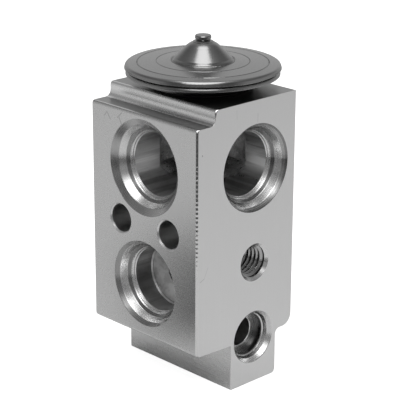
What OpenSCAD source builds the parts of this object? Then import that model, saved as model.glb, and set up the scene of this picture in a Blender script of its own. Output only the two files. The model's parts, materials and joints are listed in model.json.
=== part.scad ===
// Block-type expansion valve for a refrigerant circuit.
// Millimetres, +Z up. The valve's own axis is the Z axis; Z = 0 is the foot of the tail.
// The block is an extrusion along Y: its front face looks to -Y, its flange face to -X.

/* [Block] */
// Depth of the block along the extrusion
block_d = 35.6; // [34:0.1:38]
// Distance from the valve axis to the flange face (left)
block_left = 19.0; // [18:0.1:20]
// Distance from the valve axis to the plain side (right)
block_right = 13.0; // [12.6:0.1:14]
// Height of the block's top over the foot
block_top = 70.55; // [70:0.05:72]
// Height of the step behind the flange face
ledge_z = 67.0; // [66:0.1:68]
// Half width of the raised middle, left of the axis
upper_half = 13.3; // [12.6:0.1:14]
// Width of the tail
tail_w = 15.2; // [14.4:0.1:17]
// Height of the main block's underside on the right
under_z = 11.5; // [11:0.1:12]

/* [Ports] */
// Height of the two return ports
return_z = 54.2; // [54:0.1:55]
// Height of the outlet port in the flange face
outlet_z = 25.4; // [25:0.1:26]
// Height of the inlet port in the tail
inlet_z = 11.7; // [11.4:0.1:12]
// Radius of the three large bores
bore_r = 7.75; // [7.4:0.05:7.8]
// Radius of the inlet bore
inlet_r = 3.6; // [3.2:0.1:3.8]

/* [Fastening] */
// Height of the two bolt holes
bolt_z = 39.85; // [39.6:0.05:40.2]
// Distance between the bolt holes
bolt_pitch = 16.4; // [16:0.1:17]
// Radius of the bolt holes
bolt_r = 3.4; // [3.2:0.05:3.5]
// Height of the tapped hole for the clamp plate
tap_z = 30.85; // [30.6:0.05:31.2]
// Wall radius of the tapped hole, at the root of its thread
tap_r = 4.0; // [3.9:0.05:4.05]
// Depth of the tapped hole
tap_depth = 10.6; // [9:0.1:11]

/* [Power head] */
// Outer radius of the upper case
head_r = 18.5; // [18.3:0.01:18.7]
// Radius of the domed centre's sphere
dome_r = 6.0; // [5.9:0.05:6.1]
// Radius of the screwed neck
neck_r = 10.15; // [10:0.05:10.15]

/* [Valve] */
// Radius of the valve chamber and of the adjusting screw's bore
chamber_r = 5.0; // [4.95:0.01:5.05]
// Radius of the ball
ball_r = 2.3; // [2.2:0.01:2.3]
// Radius of the orifice
orifice_r = 1.9; // [1.85:0.01:1.9]
// Radius of the sensing rod
rod_r = 2.8; // [2.6:0.05:2.8]

/* [Hidden] */

$fn = 96;
tw = tail_w / 2;
front_y = -block_d / 2;
sock_r = 10.2;              // socket for the head, and the return chamber under it
chamber_z = 50.6;           // where the return chamber's wall ends
dome_c = 75.6;              // centre height of the dome's sphere
dome_a = 43;                // slope of the dome's skirt
skirt_r = dome_r * sin(dome_a);
skirt_z = dome_c + dome_r * cos(dome_a);
seat_z = 18.3;              // height of the orifice's lower edge
cone_z = seat_z - (chamber_r - orifice_r);
ball_z = 16.96;
seam_z = 75.0;              // joint plane of the two cases
bead_x = head_r - 0.9;      // centre of the rim's upper bend

alu = [0.78, 0.78, 0.79];
steel = [0.55, 0.55, 0.56];
rubber = [0.12, 0.12, 0.13];

// The sliver between a square corner at (x, z) and a circle of radius r inside it.
// (sx, sz) point from the corner towards the circle's centre.
module corner(x, z, r, sx, sz) {
    e = 0.02;
    translate([x, z]) difference() {
        translate([sx > 0 ? -e : -r, sz > 0 ? -e : -r]) square(r + e);
        translate([sx * r, sz * r]) circle(r);
    }
}

// Outline of the extrusion, drawn in X and Z.
module profile() {
    difference() {
        union() {
            polygon([
                [-tw, 0], [tw, 0], [tw, under_z], [block_right, under_z],
                [block_right, block_top], [-upper_half, block_top],
                [-upper_half, ledge_z], [-block_left, ledge_z],
                [-block_left, under_z + 0.55], [-tw, under_z + 0.1]]);
            // inside fillets: beside the raised middle, and right of the tail
            corner(-upper_half, ledge_z, 1.6, -1, 1);
            corner(tw, under_z, 1.5, 1, -1);
            corner(-tw, under_z + 0.12, 0.45, -1, -1);
        }
        // outside corners
        corner(-upper_half, block_top, 0.9, 1, -1);
        corner(-block_left, ledge_z, 0.75, 1, -1);
        corner(-block_left, under_z + 0.55, 0.8, 1, 1);
        corner(block_right, under_z, 2.8, -1, 1);
        corner(block_right, block_top, 0.35, -1, -1);
        corner(tw, 0, 1.1, -1, 1);
        corner(-tw, 0, 0.25, 1, 1);
    }
}

// Turned seat of a large port, axis along +Z into the metal, mouth at Z = 0.
// lip is the mouth's radius; the mouth's cone ends at radius ax, at the depth az.
module large_seat(lip, ax, az, depth) {
    rotate_extrude(convexity = 6)
        polygon([[0, -0.6], [lip + 0.25, -0.6], [lip, 0], [lip - 0.1, 0.1],
            [ax + 0.1, az - 0.1], [ax - 0.03, az + 0.07], [9.08, 2.66], [9.0, 2.8],
            [8.44, 3.36], [8.29, 3.64], [8.07, 3.86], [7.95, 4.12], [bore_r, 4.32], [bore_r, depth], [0, depth]]);
}

// Turned seat of the small inlet port.
module small_seat() {
    rotate_extrude(convexity = 6)
        polygon([[0, -0.6], [6.9, -0.6], [6.65, 0], [6.52, 0.1], [5.95, 0.95],
            [5.82, 1.15], [5.5, 2.1], [5.28, 2.3], [5.12, 2.42], [5.08, 4.75],
            [inlet_r + 0.12, 4.75], [inlet_r, 4.87], [inlet_r, 10.5], [inlet_r - 0.2, 10.7],
            [inlet_r - 0.2, 18.6], [0, 18.6]]);
}

module bolt_hole(y) {
    translate([0, y, bolt_z]) rotate([0, 90, 0]) {
        cylinder(h = 60, r = bolt_r, center = true);
        translate([0, 0, -block_left - 0.5]) cylinder(h = 0.85, r1 = bolt_r + 0.85, r2 = bolt_r);
        translate([0, 0, block_right - 0.35]) cylinder(h = 0.85, r1 = bolt_r, r2 = bolt_r + 0.85);
    }
}

module tapped_hole() {
    translate([0, front_y, tap_z]) rotate([-90, 0, 0])
        rotate_extrude()
            polygon([[0, -0.5], [tap_r + 1.2, -0.5], [tap_r + 0.7, 0], [tap_r, 0.7],
                [tap_r, tap_depth], [3.3, tap_depth], [3.3, tap_depth + 0.6], [0, tap_depth + 2.4]]);
}

// Everything turned about the valve's own axis, from the top socket down to the foot.
module axial_cuts() {
    rotate_extrude(convexity = 8)
        polygon([[0, block_top + 1], [sock_r + 1.7, block_top + 1], [sock_r + 0.7, block_top],
            [sock_r, block_top - 0.7], [sock_r, chamber_z], [bore_r, chamber_z - 2.4], [0, chamber_z - 2.4]]);
    // counterbore for the rod's seal
    translate([0, 0, 43.4]) cylinder(h = 8, r = 4.6);
    // guide of the rod, and of the pin under it
    translate([0, 0, 33.0]) cylinder(h = 11, r = rod_r + 0.04);
    translate([0, 0, 24]) cylinder(h = 10, r = 1.05);
    // orifice, seat cone, chamber, screw bore
    rotate_extrude(convexity = 6)
        polygon([[0, 24], [orifice_r, 24], [orifice_r, seat_z], [chamber_r, cone_z],
            [chamber_r, 0.5], [chamber_r + 0.5, 0], [chamber_r + 1.5, -1], [0, -1]]);
}

module valve_body() {
    color(alu) difference() {
        rotate([90, 0, 0]) linear_extrude(height = block_d, center = true) profile();
        // return port, front
        translate([0, front_y, return_z]) rotate([-90, 0, 0]) large_seat(10.65, 9.75, 1.0, -front_y + 3);
        // return port, flange face
        translate([-block_left, 0, return_z]) rotate([0, 90, 0]) {
            large_seat(11.6, 10.02, 1.22, block_left - 3);
            cylinder(h = block_left + bore_r, r = bore_r - 0.2);
        }
        // outlet port, flange face
        translate([-block_left, 0, outlet_z]) rotate([0, 90, 0]) {
            large_seat(10.6, 9.75, 0.95, 9.2);
            rotate_extrude()
                polygon([[0, 8], [bore_r, 8], [bore_r, 9.2], [bore_r - 0.35, 9.55], [bore_r - 0.42, 9.75],
                    [3.5, 11.1], [3.5, block_left + 3.4], [0, block_left + 3.4]]);
        }
        // inlet port, front of the tail
        translate([0, front_y, inlet_z]) rotate([-90, 0, 0]) small_seat();
        bolt_hole(bolt_pitch / 2);
        bolt_hole(-bolt_pitch / 2);
        tapped_hole();
        axial_cuts();
    }
}

// Lid of the head: nearly flat pressed plate, two fine rings, spherical dome, rolled rim.
module head_upper_case() {
    color(steel) rotate_extrude(convexity = 8) difference() {
        union() {
            polygon([[0, seam_z + 0.12], [bead_x + 0.5, seam_z + 0.12], [bead_x + 0.5, 75.5], [bead_x + 0.1, 76.043],
                [15.5, 76.3], [11, 76.52], [6.9, 76.78], [0, 76.9]]);
            intersection() {
                translate([0, dome_c]) circle(dome_r);
                translate([0, skirt_z]) square([9, 6]);
            }
            polygon([[0, 76], [7.16, 76], [7.16, 76.9], [7.0, 77.1], [6.8, skirt_z - (6.8 - skirt_r) * tan(dome_a)],
                [skirt_r, skirt_z], [skirt_r, skirt_z + 0.01], [0, skirt_z + 0.01]]);
            // rim: tight bend above, nearly upright skirt down to the joint
            intersection() {
                translate([bead_x, 75.25]) circle(0.8);
                translate([bead_x - 1, seam_z + 0.12]) square([3, 2]);
            }
            polygon([[bead_x + 0.48, seam_z - 0.09], [head_r - 0.05, seam_z - 0.09], [head_r, seam_z - 0.02],
                [bead_x + 0.773, 75.457], [bead_x + 0.48, 75.5]]);
        }
        // hollow under the plate and the dome
        polygon([[0, seam_z - 1], [15.2, seam_z - 1], [15.2, seam_z + 0.2], [14.6, 75.5], [8, 75.85], [0, 75.95]]);
        intersection() {
            translate([0, dome_c]) circle(dome_r - 0.9);
            translate([0, 75]) square([9, 7]);
        }
        polygon([[0, 75.5], [6.2, 75.5], [6.2, 76.5], [3.47, 79.3], [0, 79.3]]);
        // filling hole
        translate([0, 78]) square([0.7, 5]);
        // the two fine rings and the groove round the dome
        translate([15.49, 76.37]) circle(0.2, $fn = 32);
        translate([10.97, 76.6]) circle(0.17, $fn = 32);
        translate([7.5, 76.9]) circle(0.32, $fn = 32);
        translate([-3, 60]) square([3, 30]);
    }
}

// Lower case: flange lip, shallow cone, screwed neck.
module head_lower_case() {
    color(steel) rotate_extrude(convexity = 8) difference() {
        union() {
            polygon([[8.7, 62.6], [neck_r - 0.5, 62.6], [neck_r, 63.1], [neck_r, 71.2], [12.75, 71.2],
                [13.0, 71.3], [18.05, 73.487], [18.05, 73.72], [17.6, 74.4], [17.6, 74.88], [8.7, 74.88]]);
            // bead under the joint
            intersection() {
                translate([17.35, 73.72]) circle(0.85);
                polygon([[15, 72.166], [19, 73.898], [19, 74.88], [15, 74.88]]);
            }
        }
        polygon([[8, 72.3], [12.3, 72.45], [15.8, 73.7], [16.1, 74.1], [16.1, 76], [8, 76]]);
        translate([7, 60]) square([1.8, 20]);
    }
}

// Sealed filling stub: short neck, flattened head with a nick across its front.
module charge_plug() {
    color(steel) difference() {
        rotate_extrude(convexity = 4) union() {
            polygon([[0, 80.6], [0.68, 80.6], [0.68, 82], [0, 82]]);
            difference() {
                polygon([[0, 80.9], [2.45, 80.9], [2.45, 81.17], [2.0, 81.36], [1.62, 81.5], [1.5, 81.66],
                    [1.78, 81.72], [1.92, 81.86], [1.92, 82.4], [1.76, 82.64], [0, 82.72]]);
                translate([0, dome_c]) circle(dome_r + 0.01);
            }
        }
        // nick left by the crimping tool
        rotate([0, 0, -44]) translate([0, -1.96, 81.98]) rotate([0, 45, 0]) cube([0.62, 0.9, 0.62], center = true);
    }
}

module head_gasket() {
    color(rubber) rotate_extrude() translate([11.45, block_top + 0.325]) circle(0.32, $fn = 48);
}

module diaphragm() {
    color(steel) translate([0, 0, seam_z - 0.1]) cylinder(h = 0.2, r = 17.3);
}

// Stop plate under the diaphragm, with the hub that takes the rod.
module diaphragm_plate() {
    color(steel) rotate_extrude()
        polygon([[0, 74.85], [10.9, 74.85], [11.3, 74.5], [11.3, 73.75], [5.2, 73.75], [4.4, 73.2],
            [4.4, 71.2], [rod_r + 0.03, 71.2], [rod_r + 0.03, 73.0], [0, 73.0]]);
}

module sensing_rod() {
    color(alu) rotate_extrude()
        polygon([[0, 34.0], [rod_r - 0.4, 34.0], [rod_r, 34.4], [rod_r, 72.6], [rod_r - 0.3, 72.95], [0, 72.95]]);
}

module rod_o_ring() {
    color(rubber) rotate_extrude() translate([rod_r + 0.86, 44.28]) circle(0.82, $fn = 48);
}

module rod_seal_retainer() {
    color(steel) translate([0, 0, 45.2]) difference() {
        cylinder(h = 0.9, r = 4.58);
        translate([0, 0, -1]) cylinder(h = 3, r = rod_r + 0.12);
    }
}

module push_pin() {
    color(steel) translate([0, 0, ball_z + ball_r + 0.01]) cylinder(h = 33.98 - ball_z - ball_r - 0.01, r = 1.0);
}

module valve_ball() {
    color(steel) translate([0, 0, ball_z]) sphere(ball_r);
}

// Cup under the ball, with a spigot that centres the spring.
module ball_carrier() {
    color(alu) difference() {
        rotate_extrude()
            polygon([[0, 11.2], [2.1, 11.2], [2.35, 11.5], [2.35, 12.4], [3.4, 12.4], [3.4, 14.9], [3.0, 15.3], [0, 15.3]]);
        translate([0, 0, ball_z]) sphere(ball_r + 0.03);
    }
}

// Sprung ring round the carrier: three leaves reach out to the chamber's wall.
module carrier_damper() {
    color(steel) union() {
        translate([0, 0, 12.8]) difference() {
            cylinder(h = 1.6, r = 3.75);
            translate([0, 0, -1]) cylinder(h = 4, r = 3.43);
        }
        for (a = [90, 210, 330]) rotate([0, 0, a]) translate([3.6, -0.7, 12.8]) cube([1.26, 1.4, 0.35]);
    }
}

// Points of a coil spring's ring number i, wire radius w, mean radius m.
coil_n = 8;
coil_turns = 5.5;
coil_step = 16;
coil_h0 = 6.42;
coil_h1 = 11.98;
function coil_centre(t) =
    let (f = t / coil_turns,
         g = f < 0.14 ? f * 0.35 : f > 0.86 ? 1 - (1 - f) * 0.35 : 0.049 + (f - 0.14) / 0.72 * 0.902)
    [2.95 * cos(360 * t), 2.95 * sin(360 * t), coil_h0 + (coil_h1 - coil_h0) * g];
function coil_ring(t) =
    let (c = coil_centre(t), u = [cos(360 * t), sin(360 * t), 0])
    [for (k = [0 : coil_n - 1]) c + 0.36 * (cos(360 * k / coil_n) * u + sin(360 * k / coil_n) * [0, 0, 1])];

module superheat_spring() {
    rings = coil_turns * coil_step;
    pts = [for (i = [0 : rings]) each coil_ring(i / coil_step)];
    sides = [for (i = [0 : rings - 1], k = [0 : coil_n - 1])
        [i * coil_n + k, (i + 1) * coil_n + k, (i + 1) * coil_n + (k + 1) % coil_n, i * coil_n + (k + 1) % coil_n]];
    ends = [[for (k = [0 : coil_n - 1]) k], [for (k = [coil_n - 1 : -1 : 0]) rings * coil_n + k]];
    color(steel) polyhedron(points = pts, faces = concat(sides, ends), convexity = 10);
}

// Hollow-headed screw: hexagon socket below, seal groove, spigot for the spring above.
module adjusting_screw() {
    color("goldenrod") difference() {
        rotate_extrude(convexity = 4)
            polygon([[0, 0.7], [4.5, 0.7], [4.92, 1.1], [4.92, 3.2], [3.68, 3.2], [3.68, 4.9], [4.92, 4.9],
                [4.92, 5.8], [4.7, 6.0], [2.35, 6.0], [2.35, 6.9], [2.1, 7.15], [0, 7.15]]);
        cylinder(h = 3.5, r = 2.887, $fn = 6);
        translate([0, 0, 3.49]) cylinder(h = 0.9, r1 = 2.3, r2 = 0.4);
    }
}

module adjuster_o_ring() {
    color(rubber) rotate_extrude() translate([4.3, 4.05]) circle(0.58, $fn = 48);
}

valve_body();
head_upper_case();
head_lower_case();
charge_plug();
head_gasket();
diaphragm();
diaphragm_plate();
sensing_rod();
rod_o_ring();
rod_seal_retainer();
push_pin();
valve_ball();
ball_carrier();
carrier_damper();
superheat_spring();
adjusting_screw();
adjuster_o_ring();
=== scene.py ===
import bpy, bmesh, math, json
import numpy as np
from mathutils import Vector, Matrix

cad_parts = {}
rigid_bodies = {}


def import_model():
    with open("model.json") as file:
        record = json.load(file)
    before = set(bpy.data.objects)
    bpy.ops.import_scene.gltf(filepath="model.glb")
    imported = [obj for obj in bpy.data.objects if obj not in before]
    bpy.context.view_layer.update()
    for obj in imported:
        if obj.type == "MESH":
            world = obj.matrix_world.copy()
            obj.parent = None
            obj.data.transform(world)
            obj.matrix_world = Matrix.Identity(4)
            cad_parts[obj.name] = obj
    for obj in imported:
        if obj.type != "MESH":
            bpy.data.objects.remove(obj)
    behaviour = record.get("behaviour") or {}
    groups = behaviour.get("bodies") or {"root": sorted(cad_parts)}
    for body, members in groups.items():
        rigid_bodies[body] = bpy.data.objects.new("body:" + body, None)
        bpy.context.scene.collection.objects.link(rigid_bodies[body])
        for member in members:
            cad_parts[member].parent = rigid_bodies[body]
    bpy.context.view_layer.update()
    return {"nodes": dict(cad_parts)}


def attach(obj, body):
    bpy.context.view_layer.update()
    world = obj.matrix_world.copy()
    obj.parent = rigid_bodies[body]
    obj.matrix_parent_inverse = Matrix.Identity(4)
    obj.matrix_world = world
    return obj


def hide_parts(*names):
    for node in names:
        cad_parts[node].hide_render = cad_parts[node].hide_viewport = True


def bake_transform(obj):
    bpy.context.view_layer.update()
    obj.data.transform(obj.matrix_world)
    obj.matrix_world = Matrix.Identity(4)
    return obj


for o in list(bpy.data.objects):
    bpy.data.objects.remove(o, do_unlink=True)

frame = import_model()
NODES = frame["nodes"]
SC = bpy.context.scene
MM = 0.001


# ---------------------------------------------------------------- camera
def make_camera():
    data = bpy.data.cameras.new("camera")
    data.sensor_fit = "HORIZONTAL"
    data.sensor_width = 36.0
    data.lens = 136.732
    data.clip_start, data.clip_end = 0.01, 30.0
    cam = bpy.data.objects.new("camera", data)
    SC.collection.objects.link(cam)
    ahead = Vector((0.660819, 0.673634, -0.330961)).normalized()
    right = Vector((0.715352, -0.698738, 0.006117)).normalized()
    up = right.cross(ahead).normalized()
    m = Matrix((right, up, -ahead)).transposed().to_4x4()
    m.translation = Vector((-0.251363, -0.258226, 0.166294))
    cam.matrix_world = m
    SC.camera = cam


make_camera()


# ---------------------------------------------------------------- node helpers
class Net:
    """Short calls for building one shader tree. Positions are taken in millimetres."""

    def __init__(self, name):
        self.mat = bpy.data.materials.new(name)
        self.mat.use_nodes = True
        self.t = self.mat.node_tree
        self.t.nodes.clear()
        self.out = self.t.nodes.new("ShaderNodeOutputMaterial")
        self.bsdf = self.t.nodes.new("ShaderNodeBsdfPrincipled")
        self.link(self.bsdf.outputs[0], self.out.inputs[0])
        tc = self.t.nodes.new("ShaderNodeTexCoord")
        self.p = self.scale(tc.outputs["Object"], 1000.0)
        s = self.t.nodes.new("ShaderNodeSeparateXYZ")
        self.link(self.p, s.inputs[0])
        self.x, self.y, self.z = s.outputs[0], s.outputs[1], s.outputs[2]

    def link(self, a, b):
        self.t.links.new(a, b)

    def feed(self, v, sock):
        if isinstance(v, (int, float)):
            sock.default_value = v
        elif isinstance(v, (tuple, list)):
            sock.default_value = v
        else:
            self.link(v, sock)

    def m(self, op, a, b=None, c=None, clamp=False):
        n = self.t.nodes.new("ShaderNodeMath")
        n.operation, n.use_clamp = op, clamp
        for v, s in zip((a, b, c), n.inputs):
            if v is not None:
                self.feed(v, s)
        return n.outputs[0]

    def scale(self, v, k):
        n = self.t.nodes.new("ShaderNodeVectorMath")
        if isinstance(k, (int, float)):
            n.operation = "SCALE"
            n.inputs["Scale"].default_value = k
        else:
            n.operation = "MULTIPLY"
            n.inputs[1].default_value = k
        self.link(v, n.inputs[0])
        return n.outputs[0]

    def shift(self, v, d):
        n = self.t.nodes.new("ShaderNodeVectorMath")
        n.operation = "ADD"
        n.inputs[1].default_value = d
        self.link(v, n.inputs[0])
        return n.outputs[0]

    def xyz(self, a, b, c):
        n = self.t.nodes.new("ShaderNodeCombineXYZ")
        for v, s in zip((a, b, c), n.inputs):
            self.feed(v, s)
        return n.outputs[0]

    def noise(self, vec, scale=1.0, detail=3.0, rough=0.55, warp=0.0):
        n = self.t.nodes.new("ShaderNodeTexNoise")
        n.noise_dimensions = "3D"
        self.link(vec, n.inputs["Vector"])
        n.inputs["Scale"].default_value = scale
        n.inputs["Detail"].default_value = detail
        n.inputs["Roughness"].default_value = rough
        n.inputs["Distortion"].default_value = warp
        return n.outputs["Fac"]

    def cells(self, vec, scale):
        n = self.t.nodes.new("ShaderNodeTexVoronoi")
        n.feature = "F1"
        self.link(vec, n.inputs["Vector"])
        n.inputs["Scale"].default_value = scale
        return n.outputs["Distance"]

    def span(self, v, a, b, lo=0.0, hi=1.0, smooth=True):
        n = self.t.nodes.new("ShaderNodeMapRange")
        n.interpolation_type = "SMOOTHSTEP" if smooth else "LINEAR"
        n.clamp = True
        self.feed(v, n.inputs["Value"])
        n.inputs["From Min"].default_value, n.inputs["From Max"].default_value = a, b
        n.inputs["To Min"].default_value, n.inputs["To Max"].default_value = lo, hi
        return n.outputs["Result"]

    def mix(self, fac, a, b):
        n = self.t.nodes.new("ShaderNodeMix")
        n.data_type = "RGBA"
        self.feed(fac, n.inputs["Factor"])
        for v, s in ((a, n.inputs["A"]), (b, n.inputs["B"])):
            self.feed(v, s) if not isinstance(v, (tuple, list)) else setattr(s, "default_value", (*v, 1.0))
        return n.outputs["Result"]

    def bump(self, height, strength, dist, normal=None):
        n = self.t.nodes.new("ShaderNodeBump")
        n.inputs["Strength"].default_value = strength
        n.inputs["Distance"].default_value = dist
        self.link(height, n.inputs["Height"])
        if normal is not None:
            self.link(normal, n.inputs["Normal"])
        return n.outputs[0]

    def round_edges(self, radius_mm, samples=6):
        n = self.t.nodes.new("ShaderNodeBevel")
        n.samples = samples
        n.inputs["Radius"].default_value = radius_mm * MM
        return n.outputs[0]

    def near_line(self, u, v, a, b, width, soft=0.6):
        """1 on the line from a to b in the (u, v) plane, 0 beyond its width."""
        (au, av), (bu, bv) = a, b
        du, dv = bu - au, bv - av
        ll = du * du + dv * dv
        tu = self.m("SUBTRACT", u, au)
        tv = self.m("SUBTRACT", v, av)
        t = self.m("ADD", self.m("MULTIPLY", tu, du / ll), self.m("MULTIPLY", tv, dv / ll), clamp=True)
        ru = self.m("SUBTRACT", tu, self.m("MULTIPLY", t, du))
        rv = self.m("SUBTRACT", tv, self.m("MULTIPLY", t, dv))
        d = self.m("SQRT", self.m("ADD", self.m("MULTIPLY", ru, ru), self.m("MULTIPLY", rv, rv)))
        return self.span(d, width * soft * 0.3, width, 1.0, 0.0)

    def surface(self, color, rough, normal=None, metallic=1.0):
        b = self.bsdf
        if isinstance(color, (tuple, list)):
            b.inputs["Base Color"].default_value = (*color, 1.0)
        else:
            self.link(color, b.inputs["Base Color"])
        self.feed(rough, b.inputs["Roughness"])
        b.inputs["Metallic"].default_value = metallic
        if normal is not None:
            self.link(normal, b.inputs["Normal"])
        return self.mat


def grey(v, tint=None):
    return tuple(v * k for k in (tint or (1.0, 1.0, 1.0)))


# ---------------------------------------------------------------- materials
ALU = 0.78


def tone(n, fac, base, spread, tint=None):
    """Colour that wanders by a share of itself with fac (0 to 1)."""
    return n.mix(fac, grey(base * (1 - spread), tint), grey(base * (1 + spread), tint))


def block_face(name, lines, marks=(), base=ALU, r0=0.30, r1=0.38, edge=0.12, relief=0.10):
    """Milled or extruded flat: fine parallel lines along one direction, cloudy tone, few specks."""
    n = Net(name)
    cloud = n.noise(n.p, 0.06, 3)
    fine = n.noise(n.scale(n.p, lines), 1.0, 3, 0.6)
    grain = n.noise(n.p, 2.6, 3, 0.6)
    speck = n.span(n.cells(n.p, 0.21), 0.012, 0.03, 1.0, 0.0)
    fac = n.m("ADD", n.m("MULTIPLY", cloud, 0.45), n.m("ADD", n.m("MULTIPLY", fine, 0.3), n.m("MULTIPLY", grain, 0.25)))
    col = tone(n, fac, base, 0.07)
    height = n.m("ADD", n.m("MULTIPLY", fine, 0.6), n.m("MULTIPLY", grain, 0.4))
    dark = n.m("MULTIPLY", speck, 0.5)
    for plane, a, b, w, k in marks:
        u, v = (n.y, n.z) if plane == "yz" else (n.x, n.z)
        dark = n.m("MAXIMUM", dark, n.m("MULTIPLY", n.near_line(u, v, a, b, w), k))
    col = n.mix(dark, col, grey(0.30))
    height = n.m("SUBTRACT", height, n.m("MULTIPLY", dark, 1.5))
    rough = n.span(fac, 0.3, 0.7, r0, r1, smooth=False)
    nor = n.bump(height, relief, 0.02 * MM, n.round_edges(edge) if edge else None)
    return n.surface(col, rough, nor)


def turned(name, axis, centre, base=ALU, r0=0.24, r1=0.34, pitch=5.0, strength=0.12, spread=0.08, edge=0.08, tint=None, painted_groove_shade=(), painted_shade_and_highlight_bands=(), painted_highlight_steps=(), streak=0.0, smudge=None):
    """Lathe-turned metal: rings round an axis (0 X, 1 Y, 2 Z) through centre, in millimetres."""
    n = Net(name)
    c = [n.x, n.y, n.z]
    a, b = [i for i in range(3) if i != axis]
    u = n.m("SUBTRACT", c[a], centre[a])
    v = n.m("SUBTRACT", c[b], centre[b])
    r = n.m("SQRT", n.m("ADD", n.m("MULTIPLY", u, u), n.m("MULTIPLY", v, v)))
    ring = n.noise(n.xyz(n.m("MULTIPLY", r, pitch), n.m("MULTIPLY", c[axis], pitch), 0.0), 1.0, 4, 0.65)
    turn = n.noise(n.xyz(n.m("MULTIPLY", r, pitch * 0.6), n.m("MULTIPLY", u, 0.25), n.m("MULTIPLY", v, 0.25)), 1.0, 3, 0.5)
    cloud = n.noise(n.p, 0.35, 2)
    fac = n.m("ADD", n.m("MULTIPLY", ring, 0.5), n.m("ADD", n.m("MULTIPLY", turn, 0.2), n.m("MULTIPLY", cloud, 0.3)))
    col = tone(n, fac, base, spread, tint)
    if streak:
        along = [n.m("MULTIPLY", c[i], 0.04 if i == axis else 0.7) for i in range(3)]
        line = n.span(n.noise(n.xyz(*along), 1.0, 3, 0.55), 0.42, 0.62)
        col = n.mix(n.m("MULTIPLY", line, streak), col, grey(base * 0.25))
    # painted light and shade: rings of the turned surface made darker or lighter to stand in for what they reflect
    for lo, hi, k in painted_shade_and_highlight_bands:
        inside = n.m("MULTIPLY", n.span(r, lo - 0.07, lo + 0.07), n.span(r, hi - 0.07, hi + 0.07, 1.0, 0.0))
        col = n.mix(inside, col, tone(n, fac, base * k, spread, tint))
    # painted highlight and shade: depth steps of a bore made lighter or darker to stand in for what they reflect
    for lo, hi, k in painted_highlight_steps:
        inside = n.m("MULTIPLY", n.span(c[axis], lo - 0.05, lo + 0.05), n.span(c[axis], hi - 0.05, hi + 0.05, 1.0, 0.0))
        col = n.mix(inside, col, tone(n, fac, base * k, spread, tint))
    relief = n.m("ADD", ring, n.m("MULTIPLY", turn, 0.5))
    # painted shade: the colour along each groove made nearly black
    for rad, width, low, share in painted_groove_shade:
        cut = n.m("MULTIPLY", n.span(n.m("ABSOLUTE", n.m("SUBTRACT", r, rad)), width * 0.4, width, 1.0, 0.0), n.span(c[axis], low, low + 0.05))
        cut = n.m("MULTIPLY", cut, share)
        col = n.mix(cut, col, grey(base * 0.12))
    if smudge:
        a, b, width, share, low = smudge
        broken = n.span(n.noise(n.p, 1.6, 2), 0.42, 0.55)
        stain = n.m("MULTIPLY", n.near_line(n.x, n.y, a, b, width), n.m("MULTIPLY", broken, n.span(n.z, low, low + 0.05)))
        col = n.mix(n.m("MULTIPLY", stain, share), col, grey(base * 0.2))
    nor = n.bump(relief, strength, 0.02 * MM, n.round_edges(edge) if edge else None)
    return n.surface(col, n.span(fac, 0.3, 0.7, r0, r1, smooth=False), nor)


def rubber(name):
    n = Net(name)
    g = n.noise(n.p, 6.0, 4, 0.6)
    c = n.noise(n.p, 0.8, 2)
    col = n.mix(c, (0.012, 0.012, 0.013), (0.03, 0.03, 0.032))
    return n.surface(col, n.span(g, 0.3, 0.7, 0.42, 0.62), n.bump(g, 0.25, 0.02 * MM), metallic=0.0)


MARKS_FRONT = [
    ("xz", (-17.35, 60.9), (-17.3, 60.75), 0.20, 0.8),
    ("xz", (-6.6, 69.3), (-6.5, 67.2), 0.10, 0.30),
    ("xz", (-17.9, 30.6), (-16.6, 31.2), 0.13, 0.45),
    ("xz", (-16.6, 31.2), (-15.4, 33.6), 0.12, 0.25),
    ("xz", (0.3, 67.3), (0.3, 65.2), 0.10, 0.45),
]
MARKS_SIDE = [
    ("yz", (8.3, 64.6), (6.7, 61.7), 0.20, 0.7),
    ("yz", (8.9, 64.5), (7.4, 65.9), 0.18, 0.65),
    ("yz", (12.6, 65.2), (11.4, 63.6), 0.20, 0.6),
    ("yz", (12.6, 65.2), (13.6, 64.0), 0.18, 0.5),
]
M = {}
M["end"] = block_face("block_end_face", (3.5, 3.5, 0.12), MARKS_FRONT)
M["long"] = block_face("block_drawn_face", (3.5, 0.05, 3.5), MARKS_SIDE, base=0.67, r0=0.24, r1=0.31, relief=0.045)
M["end_back"] = block_face("block_end_face_back", (3.5, 3.5, 0.12))
M["long_right"] = block_face("block_drawn_face_right", (3.5, 0.05, 3.5), base=0.67, r0=0.24, r1=0.31, relief=0.045)
# painted shade and painted highlight: each port seat's rings, and the inlet bore's step, made darker or lighter by the
# listed factors
M["p"] = turned("block_turned_front", 1, (0, 0, 54.2), r0=0.22, r1=0.31, strength=0.12, spread=0.18,
              painted_shade_and_highlight_bands=((10.2, 10.9, 0.36), (9.74, 10.2, 0.56), (9.06, 9.74, 1.05), (8.42, 9.04, 0.30)))
M["p2"] = turned("block_turned_inlet", 1, (0, 0, 11.7), r0=0.22, r1=0.31, strength=0.12, spread=0.18,
              painted_shade_and_highlight_bands=((5.0, 5.25, 0.16), (3.6, 5.0, 1.25)))
M["q1"] = turned("block_turned_flange_upper", 0, (0, 0, 54.2), r0=0.22, r1=0.31, strength=0.12, spread=0.18,
              painted_shade_and_highlight_bands=((10.0, 11.9, 0.64), (9.06, 10.0, 1.03), (8.42, 9.04, 0.42)))
M["q2"] = turned("block_turned_flange_lower", 0, (0, 0, 25.4), r0=0.22, r1=0.31, strength=0.12, spread=0.18,
              painted_shade_and_highlight_bands=((9.74, 10.9, 0.48), (9.06, 9.74, 1.2), (8.42, 9.04, 0.32)))
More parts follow.
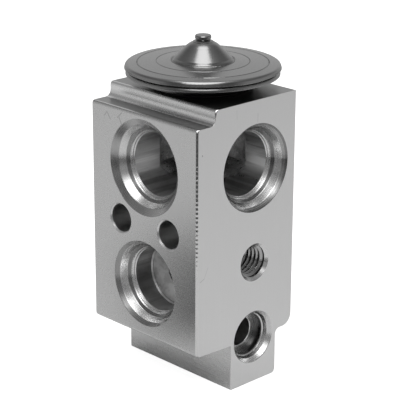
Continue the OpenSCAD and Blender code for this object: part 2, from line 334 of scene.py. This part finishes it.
# painted light and shade: the bores share one metal, but their tones are set per port, darker in the inlet and lower
# flange bores and lighter in the front and upper flange bores
M["bp"] = turned("block_bored_front", 1, (0, 0, 54.2), base=0.82, r0=0.34, r1=0.44, streak=0.45)
M["bp2"] = turned("block_bored_inlet", 1, (0, 0, 11.7), base=0.42, r0=0.30, r1=0.38, painted_highlight_steps=((-8.75, -6.9, 2.25),))
M["bq1"] = turned("block_bored_flange_upper", 0, (0, 0, 54.2), base=0.96, r0=0.36, r1=0.46, streak=0.4)
M["bq2"] = turned("block_bored_flange_lower", 0, (0, 0, 25.4), base=0.57, r0=0.32, r1=0.42, streak=0.3)
# painted shade on the top faces and painted light on the raised sides: the same drawn aluminium made darker and lighter
M["top"] = block_face("block_drawn_top_painted_shade", (3.5, 0.05, 3.5), base=0.30, r0=0.26, r1=0.34, relief=0.05)
M["raised"] = block_face("block_drawn_upper_painted_light", (3.5, 0.05, 3.5), base=0.90, r0=0.24, r1=0.31, relief=0.06)
M["burr"] = block_face("block_broken_corner", (4.0, 4.0, 1.5), r0=0.13, r1=0.19, edge=0)
# painted shade: the tapped hole's root wall and crests made darker than the block's metal, standing in for the shade
# inside the hole
M["m8"] = turned("block_tapped_roots_painted_shade", 1, (0, 0, 30.85), base=0.12)
M["m8c"] = turned("block_tapped_crests_painted_shade", 1, (0, 0, 30.85), base=0.50, r0=0.18, r1=0.26, strength=0.06)
M["m8m"] = turned("block_tapped_mouth", 1, (0, 0, 30.85), r0=0.18, r1=0.26)
M["z"] = turned("block_turned_axis", 2, (0, 0, 0), r0=0.22, r1=0.34)
M["bolt"] = turned("block_drilled", 0, (0, 8.2, 39.85), r0=0.24, r1=0.36)
M["bolt2"] = turned("block_drilled_front", 0, (0, -8.2, 39.85), r0=0.24, r1=0.36)
HEAD = turned("head_pressed_steel", 2, (0, 0, 0), base=0.295, r0=0.19, r1=0.27, pitch=2.2, strength=0.10, spread=0.08, edge=0.05,
              smudge=((-13.1, -10.7), (-10.5, -13.3), 0.22, 0.6, 76.0),
              painted_groove_shade=((15.5, 0.13, 76.05, 0.75), (11.0, 0.12, 76.3, 0.55), (7.45, 0.18, 76.4, 0.8)))
for node, mat in {
    "head_upper_case": HEAD,
    "head_lower_case": HEAD,
    "charge_plug": turned("stub_crimped_steel", 2, (0, 0, 0), base=0.30, r0=0.28, r1=0.38, edge=0.04),
    "head_gasket": rubber("gasket_rubber"),
    "diaphragm": turned("diaphragm_foil", 2, (0, 0, 0), base=0.60, r0=0.18, r1=0.26, edge=0),
    "diaphragm_plate": turned("plate_steel", 2, (0, 0, 0), base=0.52, r0=0.22, r1=0.32),
    "sensing_rod": turned("rod_aluminium", 2, (0, 0, 0), base=0.72, r0=0.20, r1=0.30),
    "rod_o_ring": rubber("ring_rubber"),
    "rod_seal_retainer": turned("retainer_steel", 2, (0, 0, 0), base=0.50, r0=0.22, r1=0.32),
    "push_pin": turned("pin_steel", 2, (0, 0, 0), base=0.60, r0=0.15, r1=0.22),
    "valve_ball": turned("ball_steel", 2, (0, 0, 0), base=0.66, r0=0.05, r1=0.09, strength=0.02, spread=0.03, edge=0),
    "ball_carrier": turned("carrier_aluminium", 2, (0, 0, 0), base=0.70, r0=0.24, r1=0.34),
    "carrier_damper": turned("damper_steel", 2, (0, 0, 0), base=0.48, r0=0.22, r1=0.30),
    "superheat_spring": turned("spring_wire", 2, (0, 0, 0), base=0.46, r0=0.24, r1=0.34, edge=0),
    "adjusting_screw": turned("screw_brass", 2, (0, 0, 0), base=0.80, r0=0.20, r1=0.30, tint=(1.0, 0.74, 0.34)),
    "adjuster_o_ring": rubber("adjuster_ring_rubber"),
}.items():
    ob = NODES[node]
    for s in ob.material_slots:
        s.material = mat


# ---------------------------------------------------------------- the block
# Front outline runs whose sharp corner is broken: width in mm at each run's two ends, then the run itself,
# given as (x, z, outward x, outward z, share of the width).
def eased(t, w0, w1):
    """Width along a rounded corner: full for most of it, fading at the end that has none."""
    t = max(0.0, (t - 0.68) / 0.32) if w1 < w0 else min(1.0, t / 0.32)
    return w0 + (w1 - w0) * t


def run_points(cuts):
    out = []
    for kind, *v in cuts:
        if kind == "arc":
            cx, cz, r, a0, a1, w0, w1 = v
            for i in range(13):
                t = i / 12
                a = math.radians(a0 + (a1 - a0) * t)
                out.append((cx + r * math.cos(a), cz + r * math.sin(a), math.cos(a), math.sin(a), eased(t, w0, w1)))
        else:
            x, z, w = v
            out.append((x, z, -1.0, 0.0, w))
    return out


FRONT = -17.8
EDGES = {
    "near": dict(width=0.40, teeth=True, runs=[("arc", -18.2, 12.85, 0.8, 270, 180, 0.0, 1.0), ("arc", -18.25, 66.25, 0.75, 180, 90, 1.0, 0.0)]),
    "upper": dict(width=0.28, teeth=False, runs=[("pt", -13.3, 68.6, 0.0), ("arc", -12.4, 69.65, 0.9, 180, 90, 1.0, 0.0)]),
    "tail": dict(width=0.22, teeth=True, runs=[("pt", -7.6, 0.25, 1.0), ("pt", -7.6, 11.1, 0.3)]),
}


def cut_share(x, z):
    """How far the broken corner reaches in from the outline at a point of it, with the outward direction."""
    for e in EDGES.values():
        for kind, *v in e["runs"]:
            if kind == "arc":
                cx, cz, r, a0, a1, w0, w1 = v
                if abs(math.hypot(x - cx, z - cz) - r) < 0.02:
                    a = math.degrees(math.atan2(z - cz, x - cx)) % 360
                    t = (a - a0) / (a1 - a0)
                    if -0.01 < t < 1.01:
                        t = min(max(t, 0.0), 1.0)
                        return e["width"] * eased(t, w0, w1), math.cos(math.radians(a)), math.sin(math.radians(a))
            elif abs(x - v[0]) < 0.01 and abs(z - v[1]) < 0.01:
                return e["width"] * v[2], -1.0, 0.0
    return None


def break_corners(me):
    """Draws the front face and the sides back from the corner, so that the strips of edge_break() fit between."""
    side = {}
    for f in me.polygons:
        for i in f.vertices:
            side.setdefault(i, set()).add(abs(f.normal.y) > 0.99)
    for v in me.vertices:
        x, y, z = (v.co / MM)
        if abs(y - FRONT) > 0.01 or len(side.get(v.index, ())) != 1:
            continue
        hit = cut_share(x, z)
        if hit and hit[0] > 0:
            w, nx, nz = hit
            if True in side[v.index]:
                v.co = Vector((x - nx * w, y, z - nz * w)) * MM
            else:
                v.co = Vector((x, y + w, z)) * MM


def edge_break(name, spec):
    """The broken corner itself: a narrow band with the saw's tooth marks across it."""
    pts = run_points(spec["runs"])
    rows = []
    for i, p in enumerate(pts):
        rows.append(p)
        if i + 1 < len(pts):
            q = pts[i + 1]
            gap = math.hypot(q[0] - p[0], q[1] - p[1])
            if gap > 1.5:
                n = int(gap / 0.1)
                for k in range(1, n):
                    t = k / n
                    rows.append(tuple(a + (b - a) * t for a, b in zip(p, q)))
    verts, faces = [], []
    cols = 6
    for x, z, nx, nz, share in rows:
        w = spec["width"] * share
        tooth = 0.0
        if spec["teeth"] and abs(nx) > 0.999:
            k = z / 1.05
            wild = math.sin(k * 2.3) * 0.25 + math.sin(k * 0.71 + 1.0) * 0.3
            fade = min(1.0, max(0.0, (z - 27.0) / 12.0)) if z > 12 else 0.5
            tooth = (0.5 - 0.5 * math.cos(2 * math.pi * k)) * (1.0 + wild) * fade
        for c in range(cols + 1):
            s = c / cols
            dome = math.sin(math.pi * s)
            out = (0.055 * dome - 0.024 * tooth * min(1.0, dome * 1.6)) * w / 0.4
            # from the front face (s = 0) to the side (s = 1), lifted along the corner's diagonal
            a = Vector((x - nx * w * (1 - s), FRONT + w * s, z - nz * w * (1 - s)))
            d = Vector((nx, -1.0, nz)).normalized()
            verts.append((a + d * out) * MM)
    for i in range(len(rows) - 1):
        for c in range(cols):
            a, b = i * (cols + 1) + c, (i + 1) * (cols + 1) + c
            faces.append((a, b, b + 1, a + 1))
    me = bpy.data.meshes.new(name)
    me.from_pydata([tuple(v) for v in verts], [], faces)
    me.validate()
    me.shade_smooth()
    me.materials.append(M["burr"])
    ob = bpy.data.objects.new(name, me)
    SC.collection.objects.link(ob)
    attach(ob, "block")
    return ob


def machined_block():
    """The block on the CAD solid's own surface, with each machined region given its own finish; the top faces carry
    painted shade and the raised sides painted light.
    """
    src = NODES["valve_body"]
    me = src.data.copy()
    me.name = "valve_body_machined"
    break_corners(me)
    ob = bpy.data.objects.new("valve_body_machined", me)
    SC.collection.objects.link(ob)
    me.materials.clear()
    order = list(M)
    for k in order:
        me.materials.append(M[k])
    for f in me.polygons:
        x, y, z = (f.center / MM)
        nx, ny, nz = f.normal
        key = "end" if abs(ny) > 0.999 and abs(abs(y) - 17.8) < 0.02 else "long"
        if key == "long":
            rp, rq1 = math.hypot(x, z - 54.2), math.hypot(y, z - 54.2)
            rq2, r2, r8 = math.hypot(y, z - 25.4), math.hypot(x, z - 11.7), math.hypot(x, z - 30.85)
            rz = math.hypot(x, y)
            outer = abs(nx) > 0.999 and abs(x + 19.0) < 0.02
            # painted shade and painted light: top faces and raised sides get the darker and lighter copies
            if nz > 0.99 and z > 66.5 and (z > 70.4 or x < -12):
                key = "top"
            elif x < -12.0 and z > 66.9 and rz > 13:
                key = "raised"
            elif outer:
                pass
            elif y < -13.0 and rp < 10.9:
                key = "p"
            elif y < -12.8 and r2 < 6.9:
                key = "p2"
            elif y < -4.5 and r8 < 4.95:
                key = "m8m" if y < -17.0 and abs(ny) > 0.1 else "m8"
            elif x < -14.2 and rq1 < 11.8:
                key = "q1"
            elif x < -7.5 and rq2 < 10.8:
                key = "bq2" if rq2 < 7.86 and x > -14.4 else "q2"
            elif rz < 11.0 and (z > 62.5 or abs(rz - 10.2) < 0.1 and z > 47):
                key = "z"
            elif abs(rp - 7.75) < 0.08 and y < 4:
                key = "bp"
            elif abs(rq1 - 7.75) < 0.3 and x < 8:
                key = "bq1"
            elif math.hypot(y - 8.2, z - 39.85) < 4.4:
                key = "bolt"
            elif math.hypot(y + 8.2, z - 39.85) < 4.4:
                key = "bolt2"
            elif r2 < 4.7 and y < -4.5:
                key = "bp2"
            elif rz < 6.6:
                key = "z"
        if key == "long" and nx > 0.99:
            key = "long_right"
        elif key == "end" and y > 0:
            key = "end_back"
        f.material_index = order.index(key)
    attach(ob, "block")
    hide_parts("valve_body")
    return ob


BLOCK = machined_block()
for k, spec in EDGES.items():
    edge_break("broken_corner_" + k, spec)


def thread():
    """Crests of the M8 x 1.25 thread between the root wall of the tapped hole."""
    pitch, root, crest, n = 1.25, 4.03, 3.40, 72
    turns = (10.2 - 0.2) / pitch
    verts, faces = [], []
    last = None
    for i in range(int(turns * n) + 1):
        a = 2 * math.pi * i / n
        t = 0.2 + pitch * i / n
        r = max(crest, 4.74 - t)
        r = r + (root - r) * max(0.0, min(1.0, (i - (turns - 0.5) * n) / (0.5 * n)))
        if r > root - 0.02:
            last = None
            continue
        k = (root - r) / (root - crest)
        base = len(verts)
        for dt, rr in ((-0.56 * k, root), (-0.12, r + 0.02), (-0.05, r), (0.05, r), (0.12, r + 0.02), (0.56 * k, root)):
            verts.append((rr * math.sin(a) * MM, (FRONT + t + dt) * MM, (30.85 + rr * math.cos(a)) * MM))
        if last is not None:
            for c in range(5):
                faces.append((last + c, base + c, base + c + 1, last + c + 1))
        last = base
    me = bpy.data.meshes.new("clamp_thread_crests")
    me.from_pydata(verts, [], faces)
    me.validate()
    bm = bmesh.new()
    bm.from_mesh(me)
    bmesh.ops.recalc_face_normals(bm, faces=bm.faces)
    # normals look towards the hole's axis
    f = bm.faces[:][0]
    c = f.calc_center_median()
    if f.normal.dot(Vector((-c.x, 0, 0.03085 - c.z))) < 0:
        bmesh.ops.reverse_faces(bm, faces=bm.faces)
    bm.to_mesh(me)
    bm.free()
    me.materials.append(M["m8c"])
    ob = bpy.data.objects.new("clamp_thread_crests", me)
    SC.collection.objects.link(ob)
    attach(ob, "block")


thread()


# ---------------------------------------------------------------- the spring
def coil(name, t0, t1, keep_cap):
    """Part of the spring's wire from turn t0 to t1, round and smooth."""
    ring, per = 14, 36
    h0, h1 = 6.42, 11.98

    def centre(t):
        f = t / 5.5
        g = f * 0.35 if f < 0.14 else (1 - (1 - f) * 0.35 if f > 0.86 else 0.049 + (f - 0.14) / 0.72 * 0.902)
        a = 2 * math.pi * t
        return Vector((2.95 * math.cos(a), 2.95 * math.sin(a), h0 + (h1 - h0) * g)), Vector((math.cos(a), math.sin(a), 0))

    verts, faces = [], []
    n = int(round((t1 - t0) * per))
    for i in range(n + 1):
        c, u = centre(t0 + (t1 - t0) * i / n)
        for k in range(ring):
            b = 2 * math.pi * k / ring
            verts.append((c + 0.36 * (math.cos(b) * u + math.sin(b) * Vector((0, 0, 1)))) * MM)
    for i in range(n):
        for k in range(ring):
            a, b = i * ring + k, i * ring + (k + 1) % ring
            faces.append((a, b, b + ring, a + ring))
    if keep_cap in ("low", "both"):
        faces.append(tuple(range(ring)))
    if keep_cap in ("high", "both"):
        faces.append(tuple(n * ring + k for k in reversed(range(ring))))
    me = bpy.data.meshes.new(name)
    me.from_pydata([tuple(v) for v in verts], [], faces)
    me.validate()
    bm = bmesh.new()
    bm.from_mesh(me)
    bmesh.ops.recalc_face_normals(bm, faces=bm.faces)
    c0, _ = centre(t0)
    f = min(bm.faces, key=lambda q: (len(q.verts) > 4, (q.calc_center_median() - c0 * MM).length))
    mid = min((centre(t0 + (t1 - t0) * i / n)[0] * MM for i in range(n + 1)), key=lambda q: (q - f.calc_center_median()).length)
    if f.normal.dot(f.calc_center_median() - mid) < 0:
        bmesh.ops.reverse_faces(bm, faces=bm.faces)
    for q in bm.faces:
        q.smooth = len(q.verts) == 4
    bm.to_mesh(me)
    bm.free()
    me.materials.append(NODES["superheat_spring"].material_slots[0].material)
    ob = bpy.data.objects.new(name, me)
    SC.collection.objects.link(ob)
    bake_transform(ob)
    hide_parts("superheat_spring")
    return ob


coil("superheat_spring_lower", 0.0, 2.75, "low")
coil("superheat_spring_upper", 2.75, 5.5, "high")


# ---------------------------------------------------------------- stage and light
def plain(name, color, strength):
    m = bpy.data.materials.new(name)
    m.use_nodes = True
    b = m.node_tree.nodes["Principled BSDF"]
    b.inputs["Base Color"].default_value = (*color, 1)
    b.inputs["Roughness"].default_value = 1.0
    b.inputs["Specular IOR Level"].default_value = 0.0
    b.inputs["Emission Color"].default_value = (1, 1, 1, 1)
    b.inputs["Emission Strength"].default_value = strength
    return m


def paper_with_painted_shadow_and_glow():
    """White paper with a painted soft shadow behind the block's left side, and two faintly glowing patches of painted
    light, one by the block's left side and one in front of it.
    """
    n = Net("paper_painted_shadow_and_glow")
    # painted shadow: a dark soft patch laid where the object's shadow falls on the paper
    d = n.near_line(n.x, n.y, (-64, 18), (-92, 50), 31.0, soft=0.75)
    cloud = n.noise(n.p, 0.004, 2)
    shade = n.m("MULTIPLY", d, 0.95)
    col = n.mix(shade, n.mix(cloud, grey(0.84), grey(0.86)), grey(0.02))
    n.bsdf.inputs["Specular IOR Level"].default_value = 0.0
    # painted light: two faint emission patches on the paper that brighten the metal's reflections of it
    left = n.m("MULTIPLY", n.near_line(n.x, n.y, (-17, -10), (-30, 4), 11.0, soft=0.9), 0.05)
    front = n.m("MULTIPLY", n.near_line(n.x, n.y, (4, -24), (24, -44), 14.0, soft=0.9), 0.03)
    n.bsdf.inputs["Emission Color"].default_value = (1, 1, 1, 1)
    n.link(n.m("ADD", left, front), n.bsdf.inputs["Emission Strength"])
    return n.surface(col, 1.0, metallic=0.0)


def sheet(name, corners, mat):
    me = bpy.data.meshes.new(name)
    me.from_pydata([tuple(c) for c in corners], [], [tuple(range(len(corners)))])
    ob = bpy.data.objects.new(name, me)
    me.materials.append(mat)
    SC.collection.objects.link(ob)
    return ob


def seen_by(ob, camera=False, light=False):
    ob.visible_camera = camera
    for a in ("visible_diffuse", "visible_glossy", "visible_transmission", "visible_volume_scatter", "visible_shadow"):
        setattr(ob, a, light)


CX, CY = -0.7003, -0.7139          # level direction from the object towards the camera


def make_stage():
    floor = sheet("floor", [(-5, -5, 0), (5, -5, 0), (5, 5, 0), (-5, 5, 0)], plain("floor_white", (0.8, 0.8, 0.8), 0.80))
    seen_by(floor, camera=True)
    # the sheet of paper that the metal mirrors: its near edge is a little in front of the object
    near, far, half = 0.142, -1.5, 1.5
    sx, sy = -CY, CX
    paper = sheet("paper", [
        (CX * near + sx * half, CY * near + sy * half, -0.0004), (CX * far + sx * half, CY * far + sy * half, -0.0004),
        (CX * far - sx * half, CY * far - sy * half, -0.0004), (CX * near - sx * half, CY * near - sy * half, -0.0004)],
        paper_with_painted_shadow_and_glow())
    seen_by(paper, light=True)
    # white room seen only by the camera, so that other views end in the same pale ground
    me = bpy.data.meshes.new("backdrop")
    bm = bmesh.new()
    bmesh.ops.create_icosphere(bm, subdivisions=4, radius=12.0)
    bm.to_mesh(me)
    bm.free()
    back = bpy.data.objects.new("backdrop", me)
    me.materials.append(plain("backdrop_white", (0, 0, 0), 1.0))
    SC.collection.objects.link(back)
    seen_by(back, camera=True)


def area(name, where, aim, size, power, up=None):
    d = bpy.data.lights.new(name, "AREA")
    d.shape, (d.size, d.size_y) = "RECTANGLE", size
    d.energy = power
    ob = bpy.data.objects.new(name, d)
    SC.collection.objects.link(ob)
    z = (Vector(where) - Vector(aim)).normalized()
    x = (Vector(up) if up else Vector((1, 0, 0))).normalized()
    y = z.cross(x).normalized()
    x = y.cross(z).normalized()
    m = Matrix((x, y, z)).transposed().to_4x4()
    m.translation = Vector(where)
    ob.matrix_world = m
    ob.visible_camera = False
    return ob


def make_lights():
    # overhead softbox, leaning towards the camera, its long side in line with the view
    high, far = math.radians(73), 0.95
    where = (CX * math.cos(high) * far, CY * math.cos(high) * far, math.sin(high) * far + 0.05)
    size = (1.00, 0.62)
    radiance = 2.25
    area("softbox", where, (0, 0, 0.05), size, radiance * math.pi * size[0] * size[1], up=(CX, CY, 0))


def make_world():
    """The room: pale walls low down on all sides but the camera's, a dim band above them, and two glows in line with the view."""
    w = bpy.data.worlds.new("room")
    SC.world = w
    w.use_nodes = True
    t = w.node_tree
    t.nodes.clear()

    def node(kind, **sets):
        n = t.nodes.new(kind)
        for k, v in sets.items():
            setattr(n, k, v)
        return n

    def math_node(op, a, b=None):
        n = node("ShaderNodeMath", operation=op)
        for v, sock in zip((a, b), n.inputs):
            if v is None:
                continue
            if isinstance(v, (int, float)):
                sock.default_value = v
            else:
                t.links.new(v, sock)
        return n.outputs[0]

    out = node("ShaderNodeOutputWorld")
    bg = node("ShaderNodeBackground")
    tc = node("ShaderNodeTexCoord")
    sep = node("ShaderNodeSeparateXYZ")
    t.links.new(tc.outputs["Generated"], sep.inputs[0])
    el = math_node("DIVIDE", math_node("ARCSINE", sep.outputs[2]), math.pi / 2)     # -1 to 1
    at = math_node("MULTIPLY_ADD", el, 0.5)
    at.node.inputs[2].default_value = 0.5

    def ramp(stops):
        """Brightness by elevation in degrees."""
        r = node("ShaderNodeValToRGB")
        r.color_ramp.interpolation = "LINEAR"
        els = r.color_ramp.elements
        for i, (e, v) in enumerate(stops):
            pos = 0.5 + e / 180.0
            if i == 0:
                el0 = els[0]
                el0.position = pos
            elif i == len(stops) - 1:
                el0 = els[-1]
                el0.position = pos
            else:
                el0 = els.new(pos)
            el0.color = (v, v, v, 1)
        t.links.new(at, r.inputs[0])
        return r.outputs[0]

    # level direction towards the camera: 1 in front, -1 behind
    flat = math_node("SQRT", math_node("ADD", math_node("MULTIPLY", sep.outputs[0], sep.outputs[0]), math_node("MULTIPLY", sep.outputs[1], sep.outputs[1])))
    flat = math_node("MAXIMUM", flat, 0.0001)
    towards = math_node("ADD", math_node("MULTIPLY", sep.outputs[0], CX), math_node("MULTIPLY", sep.outputs[1], CY))
    facing = math_node("DIVIDE", towards, flat)

    def sector(v, a, b):
        n = node("ShaderNodeMapRange", interpolation_type="SMOOTHSTEP")
        n.inputs["From Min"].default_value, n.inputs["From Max"].default_value = a, b
        t.links.new(v, n.inputs["Value"])
        return n.outputs["Result"]

    total = ramp([(-90, 0.05), (-2, 0.08), (0, 0.27), (18, 0.10), (36, 0.14), (60, 0.32), (90, 0.40)])
    front = ramp([(-2, 0.0), (0, 0.05), (24, 0.15), (35, 1.0), (46, 1.2), (58, 0.3), (72, 0.0)])
    around = ramp([(-2, 0.0), (0, 0.30), (20, 0.31), (34, 0.09), (52, 0.0), (53, 0.0)])
    back = ramp([(-2, 0.0), (0, 0.05), (14, 0.17), (28, 0.30), (40, 0.30), (60, 0.12), (75, 0.0)])
    total = math_node("ADD", total, math_node("MULTIPLY", front, sector(facing, 0.80, 1.0)))
    total = math_node("ADD", total, math_node("MULTIPLY", back, sector(facing, -0.70, -1.0)))
    total = math_node("ADD", total, math_node("MULTIPLY", around, sector(facing, 0.75, 0.35)))
    t.links.new(total, bg.inputs["Color"])
    bg.inputs["Strength"].default_value = 1.0
    t.links.new(bg.outputs[0], out.inputs[0])


make_stage()
make_lights()
make_world()
SC.view_settings.view_transform = "Standard"
SC.view_settings.look = "None"
SC.view_settings.exposure = 0.0
SC.view_settings.gamma = 1.0
